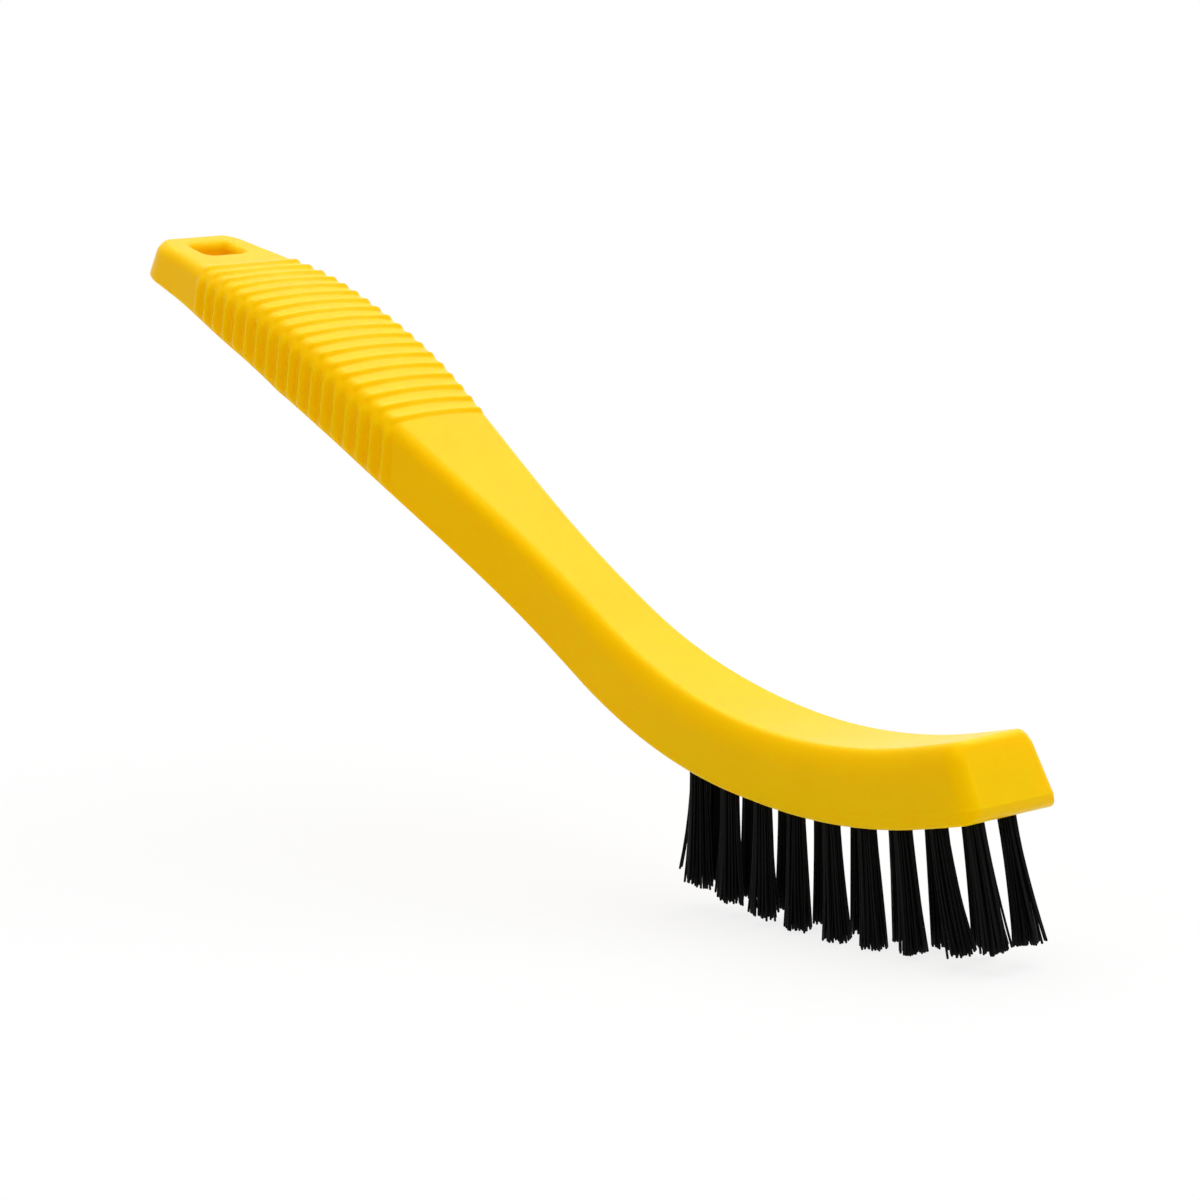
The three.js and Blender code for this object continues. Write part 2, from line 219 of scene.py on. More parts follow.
# Handle: sections along the top line
GRIP_END_X = TAB_LENGTH + GRIP_BEND_RADIUS * math.sin(NECK_SLOPE)
GRIP_END_Z = GRIP_BEND_RADIUS * (math.cos(NECK_SLOPE) - 1)
NECK_END_X = GRIP_END_X + NECK_LENGTH * math.cos(NECK_SLOPE)
NECK_END_Z = GRIP_END_Z - NECK_LENGTH * math.sin(NECK_SLOPE)
HEAD_CENTRE_X = NECK_END_X + HEAD_BEND_RADIUS * math.sin(NECK_SLOPE)
HEAD_CENTRE_Z = NECK_END_Z + HEAD_BEND_RADIUS * math.cos(NECK_SLOPE)
HEAD_END_X = HEAD_CENTRE_X + HEAD_BEND_RADIUS * math.sin(NOSE_RISE)
HEAD_END_Z = HEAD_CENTRE_Z - HEAD_BEND_RADIUS * math.cos(NOSE_RISE)
NOSE_X = HEAD_END_X + NOSE_RUN * math.cos(NOSE_RISE)
GRIP_TO = SHOULDER_RUN + GRIP_RUN
NECK_AT = GRIP_TO + NECK_TAPER_RUN
HEAD_FROM = NECK_AT + HEAD_FLARE_RUN
RIBS_FROM = TAB_LENGTH + RIB_START
RIBS_TO = RIBS_FROM + RIB_COUNT * RIB_PITCH


def top_height(x):
    if x < TAB_LENGTH:
        return 0
    if x < GRIP_END_X:
        return math.sqrt(GRIP_BEND_RADIUS**2 - (x - TAB_LENGTH) ** 2) - GRIP_BEND_RADIUS
    if x < NECK_END_X:
        return GRIP_END_Z - (x - GRIP_END_X) * math.tan(NECK_SLOPE)
    if x < HEAD_END_X:
        return HEAD_CENTRE_Z - math.sqrt(HEAD_BEND_RADIUS**2 - (x - HEAD_CENTRE_X) ** 2)
    return HEAD_END_Z + (x - HEAD_END_X) * math.tan(NOSE_RISE)


def section_depth(x):
    grip = TAB_DEPTH + (GRIP_DEPTH - TAB_DEPTH) * ramp(x, 0, TAB_TAPER_RUN)
    head = (HEAD_DEPTH - GRIP_DEPTH) * ease(x, GRIP_END_X, NECK_END_X)
    return grip + head + (NOSE_DEPTH - HEAD_DEPTH) * ramp(x, HEAD_FROM, NOSE_X)


def section_width(x):
    grip = TAB_WIDTH + (GRIP_WIDTH - TAB_WIDTH) * ease(x, 0, SHOULDER_RUN)
    neck = (NECK_WIDTH - GRIP_WIDTH) * ease(x, GRIP_TO, NECK_AT)
    head = (HEAD_WIDTH - NECK_WIDTH) * ease(x, NECK_AT, HEAD_FROM)
    return grip + neck + head + (NOSE_WIDTH - HEAD_WIDTH) * ramp(x, HEAD_FROM, NOSE_X)


def section_lean(x):
    if x < TAB_LENGTH:
        return -REAR_LEAN * (1 - ramp(x, 0, TAB_LENGTH))
    return NOSE_LEAN * ramp(x, NECK_END_X, NOSE_X) ** LEAN_POWER


def side_draft(x):
    return SIDE_DRAFT + (NOSE_DRAFT - SIDE_DRAFT) * ramp(x, HEAD_FROM, NOSE_X)


def edge_drop(x):
    """How far down the side the rounded top edge reaches."""
    half_run = EDGE_CHANGE_RUN / 2
    head = (HEAD_EDGE_DROP - TOP_EDGE_RADIUS) * ease(x, NECK_END_X - half_run, NECK_END_X + half_run)
    return TOP_EDGE_RADIUS + head + (NOSE_EDGE_DROP - HEAD_EDGE_DROP) * ramp(x, HEAD_END_X, NOSE_X)


def crown_height(x):
    rise = ease(x, TAB_LENGTH, TAB_LENGTH + CROWN_RUN)
    return GRIP_CROWN * rise * (1 - ease(x, RIBS_TO - CROWN_RUN / 2, RIBS_TO + CROWN_RUN))


def lip_step(x):
    return LIP_STEP * ease(x, NECK_END_X, HEAD_END_X)


def past_foot(past_first):
    """Distance past the foot of the nearest rib behind, or 0 before the first rib and after the last."""
    return past_first % RIB_PITCH if 0 < past_first < RIB_COUNT * RIB_PITCH else 0


def top_rib(x):
    """A hollow rise, then a rounded step."""
    past = past_foot(x - RIBS_FROM - TOP_RIB_LAG)
    if past < TOP_RIB_RISE:
        return TOP_RIB_HEIGHT * (past / TOP_RIB_RISE) ** TOP_RIB_POWER
    return TOP_RIB_HEIGHT * (1 - ease(past, TOP_RIB_RISE, RIB_PITCH))


def side_rib(x, down):
    """A round crest between round valleys, leaning towards the nose on the way down."""
    past = past_foot(x - RIBS_FROM - SIDE_RIB_LAG - SIDE_RIB_SLANT * down)
    return SIDE_RIB_HEIGHT * (ease(past, 0, SIDE_RIB_RISE) - ease(past, SIDE_RIB_RISE, RIB_PITCH))


def rounded_inset(distance, radius):
    """How far a quarter-round edge has drawn in, at a distance from the end that it rounds."""
    if distance >= radius:
        return 0
    return radius - math.sqrt(radius**2 - (radius - distance) ** 2)


TOP_STEPS = 10
TOP_EDGE_STEPS = 16
SIDE_STEPS = 12
FADE_STEPS = 8
BASE_EDGE_STEPS = 7
BASE_STEPS = 4


def half_section(x):
    """Right half of the section at x, from the middle of the top round to the middle of the base."""
    from_nose = NOSE_X - x
    rear_inset = rounded_inset(x, REAR_EDGE_RADIUS)
    edge_inset = rear_inset + rounded_inset(from_nose, NOSE_EDGE_RADIUS)
    depth = section_depth(x)
    base = depth - rear_inset - rounded_inset(from_nose, NOSE_BASE_ROUND)
    base_edge = BASE_EDGE_RADIUS + (NOSE_BASE_EDGE - BASE_EDGE_RADIUS) * ramp(x, HEAD_END_X, NOSE_X)
    base_down = base - base_edge
    lip = min(depth - LIP_HEIGHT, base_down - LIP_ROOM)
    step = lip_step(x)
    corner_inset = rounded_inset(x, REAR_CORNER_RADIUS) + rounded_inset(from_nose, NOSE_CORNER_RADIUS)
    half_width = section_width(x) / 2 - corner_inset
    crown = crown_height(x)
    rib_top = top_rib(x)
    half_edge = math.pi / 4 * TOP_EDGE_RADIUS  # from the middle of the rounded edge to either end

    def side(down):
        return half_width - (base - down) * math.tan(side_draft(x))

    points = []

    def add(y, down, out_y=0, out_down=0, crowned=False, lip_share=0):
        lift = crown * max(0, 1 - (y / side(0)) ** 2) if crowned else 0
        points.append((y + out_y, down + out_down - lift, lip_share))

    drop = edge_drop(x)
    top_down = edge_inset + drop
    top_y = side(top_down) - TOP_EDGE_RADIUS
    for y in spread(0, top_y, TOP_STEPS):
        add(y, edge_inset, 0, -rib_top * (1 + TOP_RIB_EDGE_GAIN * (y / top_y) ** 2), crowned=True)
    for turn in spread(0, math.pi / 2, TOP_EDGE_STEPS):
        out_y, out_down = math.sin(turn), -math.cos(turn)
        past_middle = turn * TOP_EDGE_RADIUS - half_edge
        down = top_down + drop * out_down
        rib = rib_top * (1 + TOP_RIB_EDGE_GAIN) * ease(-past_middle, 0, TOP_RIB_END)
        rib += side_rib(x, down) * ease(past_middle, 0, SIDE_RIB_END)
        add(top_y + TOP_EDGE_RADIUS * out_y, down, rib * out_y, rib * out_down, crowned=True)
    for down in spread(top_down, lip, SIDE_STEPS):
        add(side(down), down, side_rib(x, down) * ease(half_edge + down - top_down, 0, SIDE_RIB_END))
    add(side(lip), lip, side_rib(x, lip))
    fade_from = lip + LIP_CHAMFER
    base_y = side(base_down) + step - base_edge
    for down in spread(fade_from, base_down, FADE_STEPS):
        share = ramp(down, fade_from, base_down)
        add(side(down) + step, down, side_rib(x, down) * math.sqrt(1 - share**2), lip_share=1)
    for turn in spread(0, math.pi / 2, BASE_EDGE_STEPS):
        y = base_y + base_edge * math.cos(turn)
        add(y, base_down + base_edge * math.sin(turn), lip_share=1 - math.sin(turn))
    for y in spread(base_y, 0, BASE_STEPS):
        add(y, base)
    add(0, base)
    return points


def section_points(x):
    """Closed outline of the section at x, in space; below the parting line the nose leans less."""
    lean = section_lean(x)
    lip = section_depth(x) - LIP_HEIGHT
    lip_lean = min(lean, LIP_LEAN)
    lengthwise = lip_step(x) * (1 - ramp(NOSE_X - x, 0, NOSE_CORNER_RADIUS))
    half = half_section(x)

    def place(side, y, down, lip_share):
        upper, lower = min(down, lip), max(0, down - lip)
        along = x + upper * math.sin(lean) + lower * math.sin(lip_lean) + lengthwise * lip_share
        fall = upper * math.cos(lean) + lower * math.cos(lip_lean)
        return Vector((along, side * y, top_height(x) - fall))

    right = [place(-1, *point) for point in half]
    left = [place(1, *point) for point in half[1:-1]]
    return right + left[::-1]


ROUND_STATIONS = 9
TAB_STATIONS = 5
RIB_STATIONS = 24
NECK_STATIONS = 36
HEAD_STATIONS = 44


def handle_stations():
    turns = spread(0, math.pi / 2, ROUND_STATIONS)
    stations = [REAR_CORNER_RADIUS * (1 - math.cos(turn)) for turn in turns]
    stations += spread(REAR_CORNER_RADIUS, RIBS_FROM, TAB_STATIONS)
    past_ribs = RIBS_TO + RIB_PITCH
    stations += spread(RIBS_FROM, past_ribs, (RIB_COUNT + 1) * RIB_STATIONS)
    stations += spread(past_ribs, NECK_END_X, NECK_STATIONS)
    head_end = NOSE_X - NOSE_CORNER_RADIUS
    stations += spread(NECK_END_X, head_end, HEAD_STATIONS)
    stations += [head_end + NOSE_CORNER_RADIUS * math.sin(turn) for turn in turns]
    return stations + [NOSE_X]


def loft(mesh, outlines):
    """Quads between closed outlines, and rows of quads across both ends, so that a ledge runs on there."""
    rings = [[mesh.verts.new(point * MM) for point in outline] for outline in outlines]
    count = len(rings[0])
    for ring, following in zip(rings, rings[1:]):
        for i in range(count):
            j = (i + 1) % count
            mesh.faces.new((ring[i], following[i], following[j], ring[j]))
    for ring in (rings[0], rings[-1]):
        for i in range(count // 2):
            corners = [ring[i], ring[i + 1], ring[-i - 1], ring[-i % count]]
            mesh.faces.new(list(dict.fromkeys(corners)))
    bmesh.ops.recalc_face_normals(mesh, faces=mesh.faces)


def finished_mesh(name, build):
    work = bmesh.new()
    build(work)
    mesh = bpy.data.meshes.new(name)
    work.to_mesh(mesh)
    work.free()
    return mesh


CORNER_STEPS = 8
RIM_STEPS = 8


def hang_hole_cutter(mesh):
    """Rounded rectangle through the tab, narrowed by a quarter round from both mouths."""
    middle_x = HANG_HOLE_REAR_WALL + HANG_HOLE_LENGTH / 2
    half_length = HANG_HOLE_LENGTH / 2 - HANG_HOLE_RADIUS
    half_width = HANG_HOLE_WIDTH / 2 - HANG_HOLE_RADIUS
    corners = []
    for quarter in range(4):
        start = quarter * math.pi / 2
        corner_x = half_length * (1 if quarter in (0, 3) else -1)
        corner_y = half_width * (1 if quarter < 2 else -1)
        turns = spread(start, start + math.pi / 2, CORNER_STEPS) + [start + math.pi / 2]
        corners += [(corner_x, corner_y, turn) for turn in turns]

    def ring(grow, height):
        reach = HANG_HOLE_RADIUS + grow
        outline = []
        for x, y, turn in corners:
            along = middle_x + x + reach * math.cos(turn)
            outline.append(Vector((along, y + reach * math.sin(turn), height(along))))
        return outline

    def base_height(x):
        return -section_depth(x) * math.cos(section_lean(x))

    turns = spread(0, math.pi / 2, RIM_STEPS)
    rim = [(-HANG_HOLE_RIM * math.sin(turn), HANG_HOLE_RIM * (1 - math.cos(turn))) for turn in turns]
    rings = [ring(0, lambda x: TAB_DEPTH)]
    rings += [ring(grow, lambda x, fall=fall: -fall) for grow, fall in rim]
    rings += [ring(grow, lambda x, fall=fall: base_height(x) + fall) for grow, fall in reversed(rim)]
    rings += [ring(0, lambda x: -HANG_HOLE_CUT)]
    loft(mesh, rings)


# Seats of the tufts, from the frame
class Seat:
    """Where one tuft sits: its mouth in the head, its axes, and the plane of its trimmed tips."""

    def __init__(self, row, index):
        self.row = row
        self.index = index
        self.tuft_name = f"tuft_{row}_{index}"
        self.rng = random.Random(f"{row} {index}")
        self.tip_lean = LEANING.get(self.tuft_name, 0) + self.rng.gauss(0, LEAN_SPREAD)
        self.anchor = frame["nodes"][f"anchor_{row}_{index}"]
        corners = [vertex.co for vertex in self.anchor.data.vertices]
        middle = sum(corners, Vector()) / len(corners)
        offsets = [corner - middle for corner in corners]
        mixed = sum(offset.x * offset.z for offset in offsets)
        lengthwise = sum(offset.x**2 - offset.z**2 for offset in offsets)
        turn = math.atan2(2 * mixed, lengthwise) / 2
        self.axes = Matrix.Rotation(-turn, 4, "Y")
        self.axes.translation = middle - self.axes.to_3x3() @ Vector((0, 0, ANCHOR_DEPTH * MM))
        to_local = self.axes.to_3x3().inverted()
        self.anchor_length = 2 * max(abs((to_local @ offset).x) for offset in offsets) / MM
        inverse = self.axes.inverted()
        local = [inverse @ vertex.co / MM for vertex in frame["nodes"][self.tuft_name].data.vertices]
        middle_down = min(co.z for co in local) * TIP_SHARE
        tips = [co for co in local if co.z < middle_down]
        rear = min(tips, key=lambda co: co.x)
        front = max(tips, key=lambda co: co.x)
        self.tip_slope = (front.z - rear.z) / (front.x - rear.x)
        self.length = self.tip_slope * front.x - front.z

    def floor_height(self, x, y):
        """Where the floor lies on the line along the seat's own axis through x and y."""
        along_x, along_y, along_z, offset = self.axes[2]
        return -(along_x * x + along_y * y + offset / MM) / along_z


seats = [Seat(row, index + 1) for index in range(TUFTS_PER_ROW) for row in ("right", "left")]

BORE_SIDES = 28
BORE_LEAD = 4  # how far the cutter stands out of the mouth


def tuft_bore_cutter(mesh):
    for seat in seats:
        length = TUFT_HOLE_DEPTH + BORE_LEAD
        middle = Matrix.Translation((0, 0, (TUFT_HOLE_DEPTH - BORE_LEAD) / 2 * MM))
        bmesh.ops.create_cone(
            mesh,
            cap_ends=True,
            segments=BORE_SIDES,
            radius1=TUFT_HOLE_RADIUS * MM,
            radius2=TUFT_HOLE_RADIUS * MM,
            depth=length * MM,
            matrix=seat.axes @ middle,
        )


def anchor_slot_cutter(mesh):
    for seat in seats:
        size = Vector((seat.anchor_length, ANCHOR_THICKNESS, ANCHOR_HEIGHT))
        room = (size + Vector((2, 2, 2)) * CLEARANCE) * MM
        place = Matrix.Translation((0, 0, ANCHOR_DEPTH * MM)) @ Matrix.Diagonal((*room, 1))
        bmesh.ops.create_cube(mesh, size=1, matrix=seat.axes @ place)


def cut(obj, name, build):
    cutter = new_object(name, finished_mesh(name, build))
    modifier = obj.modifiers.new(name, "BOOLEAN")
    modifier.operation = "DIFFERENCE"
    modifier.solver = "EXACT"
    modifier.object = cutter
    bpy.context.view_layer.update()
    evaluated = obj.evaluated_get(bpy.context.evaluated_depsgraph_get())
    mesh = bpy.data.meshes.new_from_object(evaluated)
    obj.modifiers.clear()
    obj.data = mesh
    bpy.data.objects.remove(cutter)


SHARP_ANGLE = math.radians(40)
LEAST_EDGE = 0.0001  # shorter edges, left by the cuts, are dissolved


def shade(mesh):
    """Smooth faces, split where two of them meet at a real edge."""
    work = bmesh.new()
    work.from_mesh(mesh)
    bmesh.ops.dissolve_degenerate(work, dist=LEAST_EDGE * MM, edges=work.edges)
    for face in work.faces:
        face.smooth = True
    for edge in work.edges:
        edge.smooth = len(edge.link_faces) == 2 and edge.calc_face_angle() < SHARP_ANGLE
    work.to_mesh(mesh)
    work.free()


def add_handle(material):
    def body(mesh):
        loft(mesh, [section_points(x) for x in handle_stations()])

    handle = new_object("moulded_handle", finished_mesh("moulded_handle", body), material)
    cut(handle, "hang_hole", hang_hole_cutter)
    tilt = Matrix.Rotation(STANDING_TILT, 4, "Y")
    handle.data.transform(tilt)
    lowest_x = min(vertex.co.x for vertex in handle.data.vertices)
    highest_z = max(vertex.co.z for vertex in handle.data.vertices)
    cad_low, cad_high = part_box("handle")
    handle.data.transform(Matrix.Translation((cad_low.x - lowest_x, 0, cad_high.z - highest_z)))
    cut(handle, "tuft_bores", tuft_bore_cutter)
    cut(handle, "anchor_slots", anchor_slot_cutter)
    shade(handle.data)
    weighted = handle.modifiers.new("weighted_normals", "WEIGHTED_NORMAL")
    weighted.keep_sharp = True
    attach(handle, "root")
    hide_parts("handle")


# Tufts: filaments folded round the anchor, both ends trimmed
FILAMENT_SIDES = 7
TIP_ROUND = 0.14  # length of the round at a trimmed tip
TIP_NARROWING = 0.6
FREE_STEPS = 6
LOOP_STEPS = 6
LAYER_HEIGHT = 0.35  # between filaments that lie on each other in the fold
FLARE = 0.62  # share by which a tuft widens towards its tips
FLARE_SPREAD = 0.1
SCATTER = 0.14
BOW = 0.1
RAGGED = 0.26  # spread of the trimmed lengths
RAGGED_LIMIT = 0.8
TIP_DOME = 0.45  # how much shorter the outermost filaments are
TIP_CLEARANCE = 0.05  # least height of a tip's middle over the floor
STRAY_CHANCE = 0.04
STRAY_REACH = (0.5, 1.2)
FAN_POWER = 1.8  # how late on its way down a filament fans out
BLADE_GAP = 0.24  # how far a filament moves aside to pass the anchor

# Tufts with a few outer filaments bent away: towards -X or +X, and from which share of the radius on
SPLAYED = {"tuft_right_1": (-1, 0.8), "tuft_left_9": (1, 0.6)}
SPLAY_REACH = (0.8, 1.7)


def filament_places():
    """Close-packed places of the filaments on one side of the anchor, and the layer of each in the fold."""
    column_pitch = FILAMENT_WIDTH * math.sqrt(3) / 2
    reach = TUFT_RADIUS - FILAMENT_WIDTH / 2
    columns = math.floor(reach / column_pitch)
    places = []
    for column in range(-columns, columns + 1):
        x = column * column_pitch
        y = FILAMENT_WIDTH / 2 + (column % 2) * FILAMENT_WIDTH / 2
        layer = column % 2 / 2
        while math.hypot(x, y) <= reach:
            places.append((x, y, layer))
            y += FILAMENT_WIDTH
            layer += 1
    return places


def free_end(seat, x, y):
    """Points of one filament end from its tip to the mouth of the hole, fanned out and slightly bowed."""
    rng = seat.rng
    flare = 1 + rng.gauss(FLARE, FLARE_SPREAD)
    tip_x = x * flare + rng.gauss(0, SCATTER) + seat.tip_lean
    tip_y = y * flare + rng.gauss(0, SCATTER)
    if rng.random() < STRAY_CHANCE:
        stray = rng.uniform(*STRAY_REACH) / max(math.hypot(x, y), FILAMENT_WIDTH)
        tip_x += x * stray
        tip_y += y * stray
    way, from_share = SPLAYED.get(seat.tuft_name, (0, 1))
    if x * way > from_share * TUFT_RADIUS:
        tip_x += way * rng.uniform(*SPLAY_REACH)
    ragged = max(-RAGGED_LIMIT, min(RAGGED_LIMIT, rng.gauss(0, RAGGED)))
    dome = TIP_DOME * (x**2 + y**2) / TUFT_RADIUS**2
    tip_z = seat.tip_slope * tip_x - seat.length + ragged + dome
    tip_z = max(tip_z, seat.floor_height(tip_x, tip_y) + TIP_CLEARANCE)
    bow_x, bow_y = rng.gauss(0, BOW), rng.gauss(0, BOW)
    points = []
    for i in range(FREE_STEPS):
        share = 1 - i / FREE_STEPS
        fan = share**FAN_POWER
        bow = 4 * share * (1 - share)
        point_x = x + (tip_x - x) * fan + bow_x * bow
        point_y = y + (tip_y - y) * fan + bow_y * bow
        points.append(Vector((point_x, point_y, tip_z * share)))
    return points


def filament_path(seat, x, y, layer):
    """A filament from one trimmed tip up into the hole, over the anchor and down to the other tip."""
    blade_low = ANCHOR_DEPTH - ANCHOR_HEIGHT / 2
    blade_high = ANCHOR_DEPTH + ANCHOR_HEIGHT / 2
    fold_y = y + BLADE_GAP
    fold_z = FILAMENT_WIDTH / 2 + layer * LAYER_HEIGHT
    fold = []
    for i in range(LOOP_STEPS + 1):
        turn = math.pi * i / LOOP_STEPS
        fold.append(Vector((x, -fold_y * math.cos(turn), blade_high + fold_z * math.sin(turn))))
    first = free_end(seat, x, -y) + [Vector((x, -y, 0)), Vector((x, -fold_y, blade_low))]
    second = free_end(seat, x, y) + [Vector((x, y, 0)), Vector((x, fold_y, blade_low))]
    return first + fold + second[::-1]


def sweep_filament(mesh, path, tone_layer, tone):
    """Closed tube along a path, with its trimmed tips slightly rounded."""
    tip = TIP_ROUND / (path[1] - path[0]).length
    start = [path[0], path[0].lerp(path[1], tip)]
    end = [path[-1].lerp(path[-2], tip), path[-1]]
    path = start + path[1:-1] + end
    rings = []
    for i, point in enumerate(path):
        tangent = (path[min(i + 1, len(path) - 1)] - path[max(i - 1, 0)]).normalized()
        side = Vector((1, 0, 0))
        side = (side - tangent * side.dot(tangent)).normalized()
        other = tangent.cross(side)
        width = FILAMENT_WIDTH / 2 * (TIP_NARROWING if i in (0, len(path) - 1) else 1)
        ring = []
        for j in range(FILAMENT_SIDES):
            turn = 2 * math.pi * j / FILAMENT_SIDES
            vertex = mesh.verts.new((point + width * (math.cos(turn) * side + math.sin(turn) * other)) * MM)
            vertex[tone_layer] = tone
            ring.append(vertex)
        rings.append(ring)
    for ring, following in zip(rings, rings[1:]):
        for j in range(FILAMENT_SIDES):
            k = (j + 1) % FILAMENT_SIDES
            mesh.faces.new((ring[j], ring[k], following[k], following[j]))
    mesh.faces.new(rings[0][::-1])
    mesh.faces.new(rings[-1])


def add_tuft(seat, material):
    def filaments(mesh):
        tone_layer = mesh.verts.layers.float.new("tone")
        for x, y, layer in filament_places():
            path = filament_path(seat, x, y, layer)
            sweep_filament(mesh, path, tone_layer, seat.rng.random())
        mesh.transform(seat.axes)
        for face in mesh.faces:
            face.smooth = len(face.verts) == 4

    name = f"filaments_{seat.row}_{seat.index}"
    tuft = new_object(name, finished_mesh(name, filaments), material)
    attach(tuft, "root")
    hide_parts(seat.tuft_name)


# Materials, in linear colours: the darkest and the lightest tone of each
YELLOW = ((0.945, 0.555, 0.0006), (0.965, 0.575, 0.001))
YELLOW_GLOSS = (1, 0.7, 0.03, 1)
BLACK = ((0.001, 0.001, 0.001), (0.004, 0.004, 0.0038))
STEEL = ((0.42, 0.43, 0.45), (0.55, 0.56, 0.58))


class Nodes:
    """Short ways to add and join shader nodes of one material."""

    def __init__(self, name):
        self.material = bpy.data.materials.new(name)
        self.material.use_nodes = True
        self.tree = self.material.node_tree
        self.shader = self.tree.nodes["Principled BSDF"]

    def add(self, kind, **values):
        node = self.tree.nodes.new(kind)
        for key, value in values.items():
            setattr(node, key, value)
        return node

    def join(self, source, target):
        self.tree.links.new(source, target)

    def noise(self, scale, detail=2.0):
        """Noise with a given number of grains to the metre, in the object's own coordinates."""
        coordinates = self.add("ShaderNodeTexCoord")
        noise = self.add("ShaderNodeTexNoise")
        noise.inputs["Scale"].default_value = scale
        noise.inputs["Detail"].default_value = detail
        self.join(coordinates.outputs["Object"], noise.inputs["Vector"])
        return noise.outputs["Fac"]

    def ramp(self, factor, low, high, start=0.3, end=0.7):
        """Colour from low to high as the factor goes from start to end."""
        ramp = self.add("ShaderNodeValToRGB")
        first, last = ramp.color_ramp.elements
        first.position, first.color = start, (*low, 1)
        last.position, last.color = end, (*high, 1)
        self.join(factor, ramp.inputs["Fac"])
        return ramp.outputs["Color"]

    def range(self, factor, low, high):
        span = self.add("ShaderNodeMapRange")
        span.inputs["To Min"].default_value = low
        span.inputs["To Max"].default_value = high
        self.join(factor, span.inputs["Value"])
        return span.outputs["Result"]

    def bump(self, height, distance, strength, normal=None):
        bump = self.add("ShaderNodeBump")
        bump.inputs["Distance"].default_value = distance
        bump.inputs["Strength"].default_value = strength
        self.join(height, bump.inputs["Height"])
        if normal:
            self.join(normal, bump.inputs["Normal"])
        return bump.outputs["Normal"]


def yellow_plastic():
    nodes = Nodes("yellow_plastic")
    shader = nodes.shader
    cloud = nodes.noise(scale=60, detail=3)
    nodes.join(nodes.ramp(cloud, *YELLOW), shader.inputs["Base Color"])
    roughness = nodes.range(nodes.noise(scale=240, detail=4), low=0.27, high=0.38)
    nodes.join(roughness, shader.inputs["Roughness"])
    wave = nodes.bump(nodes.noise(scale=150, detail=1), distance=0.00005, strength=0.25)
    grain = nodes.bump(nodes.noise(scale=3200), distance=0.00001, strength=0.35, normal=wave)
    nodes.join(grain, shader.inputs["Normal"])
    shader.inputs["Specular IOR Level"].default_value = 0.09
    shader.inputs["Specular Tint"].default_value = YELLOW_GLOSS
    shader.inputs["Subsurface Weight"].default_value = 0.5
    shader.inputs["Subsurface Radius"].default_value = (1, 0.12, 0.02)
    shader.inputs["Subsurface Scale"].default_value = 0.008
    return nodes.material


def black_filament():
    nodes = Nodes("black_filament")
    shader = nodes.shader
    tone = nodes.add("ShaderNodeAttribute", attribute_name="tone")
    colour = nodes.ramp(tone.outputs["Fac"], *BLACK, start=0, end=1)
    nodes.join(colour, shader.inputs["Base Color"])
    roughness = nodes.range(nodes.noise(scale=900, detail=3), low=0.42, high=0.6)
    nodes.join(roughness, shader.inputs["Roughness"])
    grain = nodes.bump(nodes.noise(scale=5000), distance=0.00001, strength=0.3)
    nodes.join(grain, shader.inputs["Normal"])
    shader.inputs["Specular IOR Level"].default_value = 0.08
    return nodes.material


def drawn_wire():
    nodes = Nodes("drawn_wire")
    shader = nodes.shader
    cloud = nodes.noise(scale=500, detail=3)
    nodes.join(nodes.ramp(cloud, *STEEL), shader.inputs["Base Color"])
    roughness = nodes.range(nodes.noise(scale=1500, detail=4), low=0.28, high=0.45)
    nodes.join(roughness, shader.inputs["Roughness"])
    grain = nodes.bump(nodes.noise(scale=6000), distance=0.00001, strength=0.3)
    nodes.join(grain, shader.inputs["Normal"])
    shader.inputs["Metallic"].default_value = 1
    return nodes.material


# Floor, world and lamps
FLOOR_SIZE = 6  # in metres
FLOOR_TONE = 0.77
FLOOR_GLOW = 0.82  # share of plain white in what the camera sees of the floor; the rest takes the shadow
WORLD_LEVEL = 0.345


def white_to_camera(tree):
    """1 for rays that see the background itself or its reflection, 0 for those that only gather light."""
    path = tree.nodes.new("ShaderNodeLightPath")
    total = path.outputs["Is Camera Ray"]
    for name in ("Is Glossy Ray", "Is Transmission Ray"):
        either = tree.nodes.new("ShaderNodeMath")
        either.operation = "MAXIMUM"
        tree.links.new(total, either.inputs[0])
        tree.links.new(path.outputs[name], either.inputs[1])
        total = either.outputs["Value"]
    return total


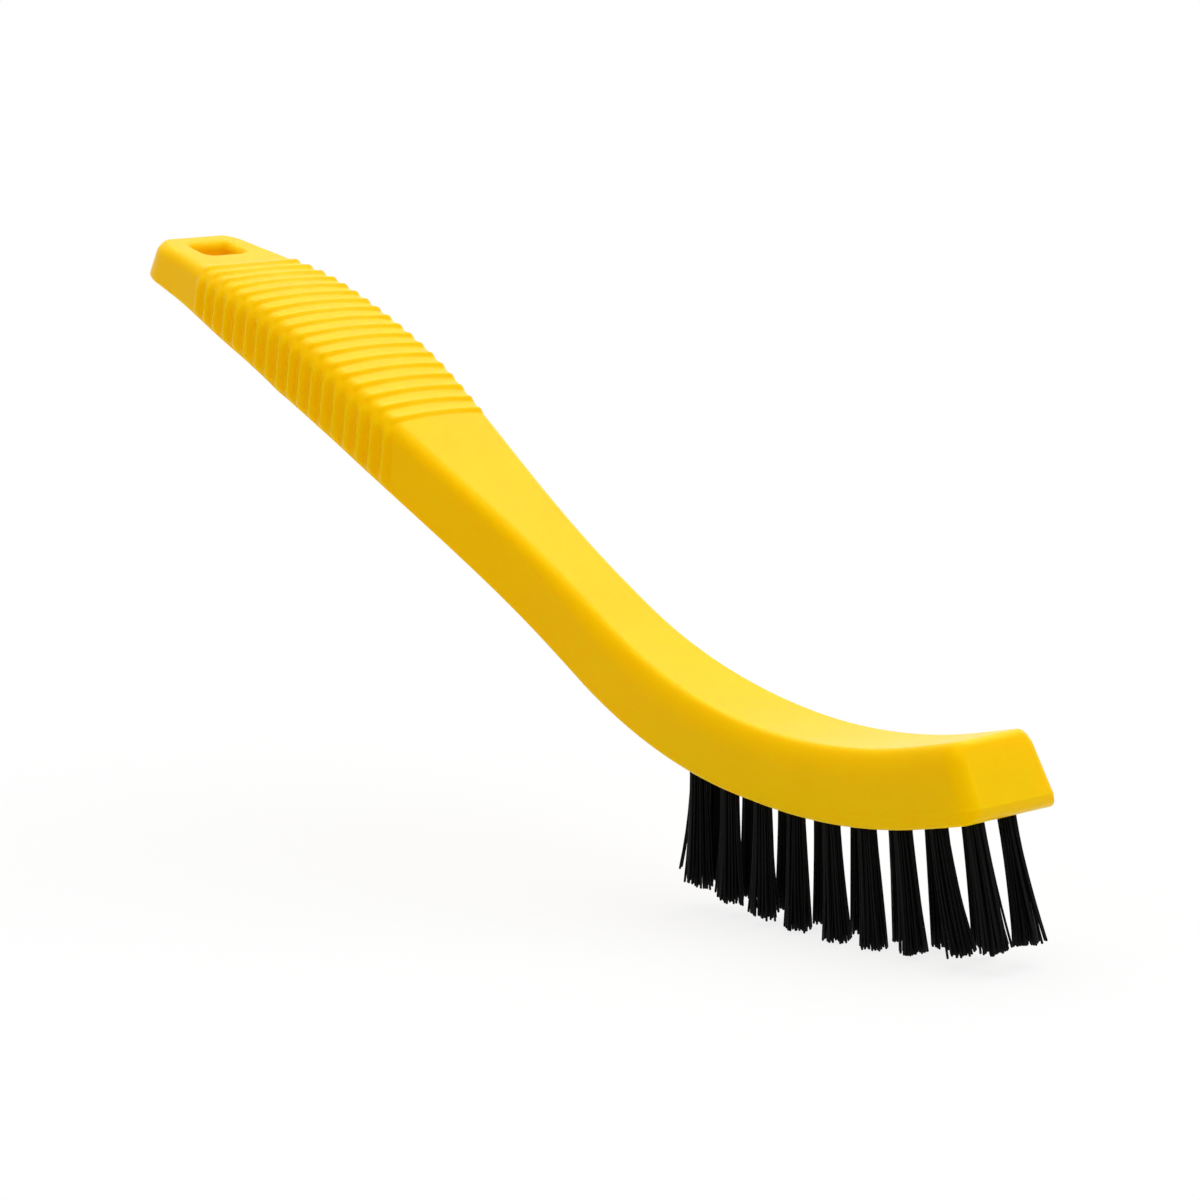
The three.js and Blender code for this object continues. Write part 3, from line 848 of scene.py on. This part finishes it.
def add_floor():
    mesh = bpy.data.meshes.new("floor")
    half = FLOOR_SIZE / 2
    corners = [(-half, -half, 0), (half, -half, 0), (half, half, 0), (-half, half, 0)]
    mesh.from_pydata(corners, [], [(0, 1, 2, 3)])
    material = bpy.data.materials.new("pale_floor")
    material.use_nodes = True
    tree = material.node_tree
    tree.nodes.clear()
    diffuse = tree.nodes.new("ShaderNodeBsdfDiffuse")
    diffuse.inputs["Color"].default_value = (FLOOR_TONE, FLOOR_TONE, FLOOR_TONE, 1)
    glow = tree.nodes.new("ShaderNodeEmission")
    share = tree.nodes.new("ShaderNodeMath")
    share.operation = "MULTIPLY"
    share.inputs[1].default_value = FLOOR_GLOW
    mix = tree.nodes.new("ShaderNodeMixShader")
    output = tree.nodes.new("ShaderNodeOutputMaterial")
    tree.links.new(white_to_camera(tree), share.inputs[0])
    tree.links.new(share.outputs["Value"], mix.inputs["Fac"])
    tree.links.new(diffuse.outputs["BSDF"], mix.inputs[1])
    tree.links.new(glow.outputs["Emission"], mix.inputs[2])
    tree.links.new(mix.outputs["Shader"], output.inputs["Surface"])
    new_object("floor", mesh, material)


def add_world():
    world = bpy.data.worlds.new("studio")
    bpy.context.scene.world = world
    world.use_nodes = True
    tree = world.node_tree
    background = tree.nodes["Background"]
    background.inputs["Color"].default_value = (1, 1, 1, 1)
    level = tree.nodes.new("ShaderNodeMapRange")
    level.inputs["To Min"].default_value = WORLD_LEVEL
    tree.links.new(white_to_camera(tree), level.inputs["Value"])
    tree.links.new(level.outputs["Result"], background.inputs["Strength"])


def add_lamp(name, towards, spread_angle, level):
    """Wide even light from one side, as from a wall of softboxes; at level 1 a colour shows as written."""
    data = bpy.data.lights.new(name, "SUN")
    data.angle = spread_angle
    data.energy = level * math.pi
    lamp = bpy.data.objects.new(name, data)
    bpy.context.scene.collection.objects.link(lamp)
    lamp.matrix_world = Vector(towards).to_track_quat("Z", "Y").to_matrix().to_4x4()


add_camera()
add_handle(yellow_plastic())
bristle = black_filament()
steel = drawn_wire()
for seat in seats:
    add_tuft(seat, bristle)
    seat.anchor.material_slots[0].material = steel
add_floor()
add_world()
add_lamp("overhead", towards=(0, 0.2, 1), spread_angle=math.radians(80), level=0.95)
add_lamp("right", towards=(1, -0.45, 0.3), spread_angle=math.radians(70), level=0.055)
bpy.context.scene.view_settings.view_transform = "Standard"
